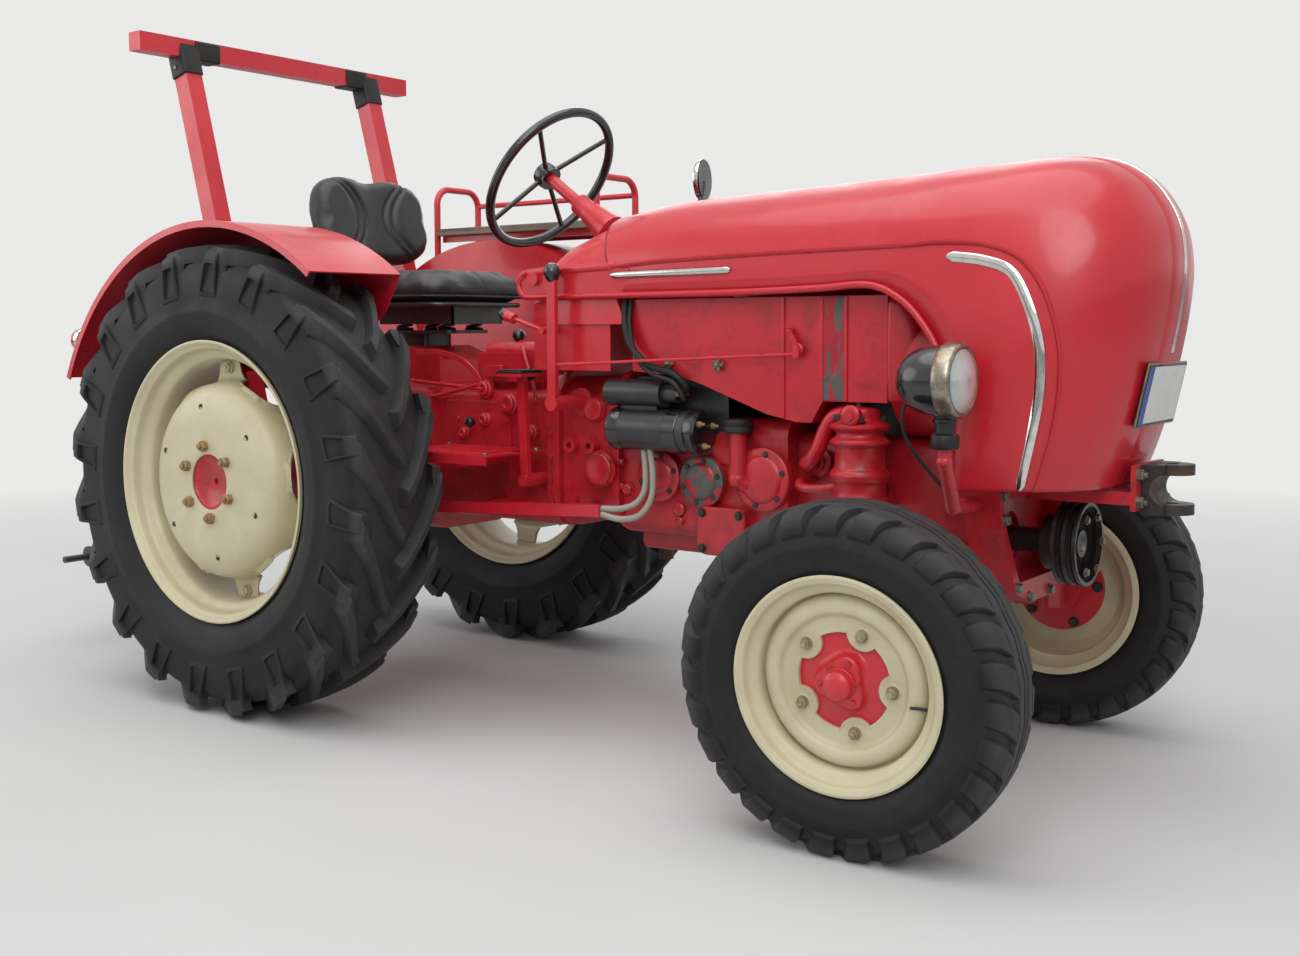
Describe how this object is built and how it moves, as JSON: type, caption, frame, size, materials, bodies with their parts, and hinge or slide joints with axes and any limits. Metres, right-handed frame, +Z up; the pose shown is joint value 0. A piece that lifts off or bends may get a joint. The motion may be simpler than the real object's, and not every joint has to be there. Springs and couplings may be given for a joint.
{
  "type": "tractor",
  "caption": "Vintage farm tractor with a lifting hood, steered front wheels, lugged rear tyres, roll bar, driver's seat and a rear three-point hitch.",
  "frame": {"origin": "on the ground under the middle of the bounding box", "axes": "+X forward, +Y to the driver's left, +Z up"},
  "size_m": [3.5179, 1.469, 1.93],
  "materials": {
    "red_paint": "worn gloss",
    "cream_paint": "worn satin",
    "black_paint": "satin",
    "bare_iron": "rough",
    "tyre_rubber": "worn",
    "seat_vinyl": "soft satin",
    "board_wood": "weathered",
    "plate_white": "satin"
  },
  "bodies": {
    "chassis": {"engine_block": "red_paint", "cylinder_bank": "bare_iron", "air_shroud": "red_paint", "starter_motor": "black_paint", "oil_filter": "red_paint", "exhaust": "bare_iron", "clutch_housing": "red_paint", "transmission": "red_paint", "rear_axle": "red_paint", "hydraulic_block": "red_paint", "front_support": "red_paint", "front_axle": "red_paint", "crank_pulley": "black_paint", "tow_jaw": "black_paint", "dash_cowl": "red_paint", "footplates": "red_paint", "fender_right": "red_paint", "fender_left": "red_paint", "roll_bar": "red_paint", "seat_frame": "black_paint", "seat_cushion": "seat_vinyl", "seat_backrest": "seat_vinyl", "passenger_rails": "red_paint", "passenger_board": "board_wood", "side_mirror": "black_paint", "headlamps": "black_paint", "tail_lamps": "black_paint", "controls": "red_paint"},
    "hood": {"hood": "red_paint", "number_plate": "plate_white"},
    "steering_wheel": {"steering_wheel": "black_paint"},
    "knuckle_right": {"knuckle_right": "red_paint"},
    "knuckle_left": {"knuckle_left": "red_paint"},
    "tie_rod": {"tie_rod": "black_paint"},
    "front_wheel_right": {"front_rim_right": "cream_paint", "front_tyre_right": "tyre_rubber"},
    "front_wheel_left": {"front_rim_left": "cream_paint", "front_tyre_left": "tyre_rubber"},
    "rear_wheel_right": {"rear_rim_right": "cream_paint", "rear_tyre_right": "tyre_rubber"},
    "rear_wheel_left": {"rear_rim_left": "cream_paint", "rear_tyre_left": "tyre_rubber"},
    "lower_links": {"lower_links": "black_paint"},
    "lift_arms": {"lift_arms": "red_paint"},
    "lift_rods": {"lift_rods": "black_paint"}
  },
  "joints": [
    {"name": "hood_hinge", "type": "hinge", "parent": "chassis", "child": "hood", "pos_m": [0.18095, 0, 1.177], "axis": [0, -1, 0], "range_deg": [0, 45]},
    {"name": "steer_right", "type": "hinge", "parent": "chassis", "child": "knuckle_right", "pos_m": [1.26095, -0.5, 0.4], "axis": [0, 0, 1], "range_deg": [-46.4, 37.6]},
    {"name": "steer_left", "type": "hinge", "parent": "chassis", "child": "knuckle_left", "pos_m": [1.26095, 0.5, 0.4], "axis": [0, 0, 1], "range_deg": [-47, 38.2]},
    {"name": "tie_rod_pivot", "type": "hinge", "parent": "knuckle_right", "child": "tie_rod", "pos_m": [1.12137, -0.51074, 0.32], "axis": [0, 0, 1], "range_deg": [-38.2, 47]},
    {"name": "steering_wheel_turn", "type": "hinge", "parent": "chassis", "child": "steering_wheel", "pos_m": [-0.00305, 0, 1.466], "axis": [-0.8099, 0, 0.5865], "range_deg": [-560, 455]},
    {"name": "front_wheel_right_spin", "type": "hinge", "parent": "knuckle_right", "child": "front_wheel_right", "pos_m": [1.26847, -0.59771, 0.357], "axis": [0.0766, -0.9958, -0.0495], "continuous": true},
    {"name": "front_wheel_left_spin", "type": "hinge", "parent": "knuckle_left", "child": "front_wheel_left", "pos_m": [1.25344, 0.59771, 0.357], "axis": [-0.0766, 0.9958, -0.0495], "continuous": true},
    {"name": "rear_wheel_right_spin", "type": "hinge", "parent": "chassis", "child": "rear_wheel_right", "pos_m": [-0.61905, -0.59, 0.64], "axis": [0, -1, 0], "continuous": true},
    {"name": "rear_wheel_left_spin", "type": "hinge", "parent": "chassis", "child": "rear_wheel_left", "pos_m": [-0.61905, 0.59, 0.64], "axis": [0, 1, 0], "continuous": true},
    {"name": "lower_links_lift", "type": "hinge", "parent": "chassis", "child": "lower_links", "pos_m": [-0.81905, 0, 0.44], "axis": [0, 1, 0], "range_deg": [-3, 38]},
    {"name": "lift_arms_turn", "type": "hinge", "parent": "chassis", "child": "lift_arms", "pos_m": [-0.67905, 0, 0.95], "axis": [0, 1, 0], "range_deg": [-4.5, 53]},
    {"name": "lift_rods_swing", "type": "hinge", "parent": "lift_arms", "child": "lift_rods", "pos_m": [-0.9986, 0, 0.89077], "axis": [0, 1, 0], "range_deg": [-50, 4.5]}
  ],
  "couplings": [
    {"joint": "steer_left", "follows": "steer_right", "ratio": 1},
    {"joint": "tie_rod_pivot", "follows": "steer_right", "ratio": -1},
    {"joint": "steering_wheel_turn", "follows": "steer_right", "ratio": 12},
    {"joint": "lift_arms_turn", "follows": "lower_links_lift", "ratio": 1.368},
    {"joint": "lift_rods_swing", "follows": "lower_links_lift", "ratio": -1.3}
  ]
}
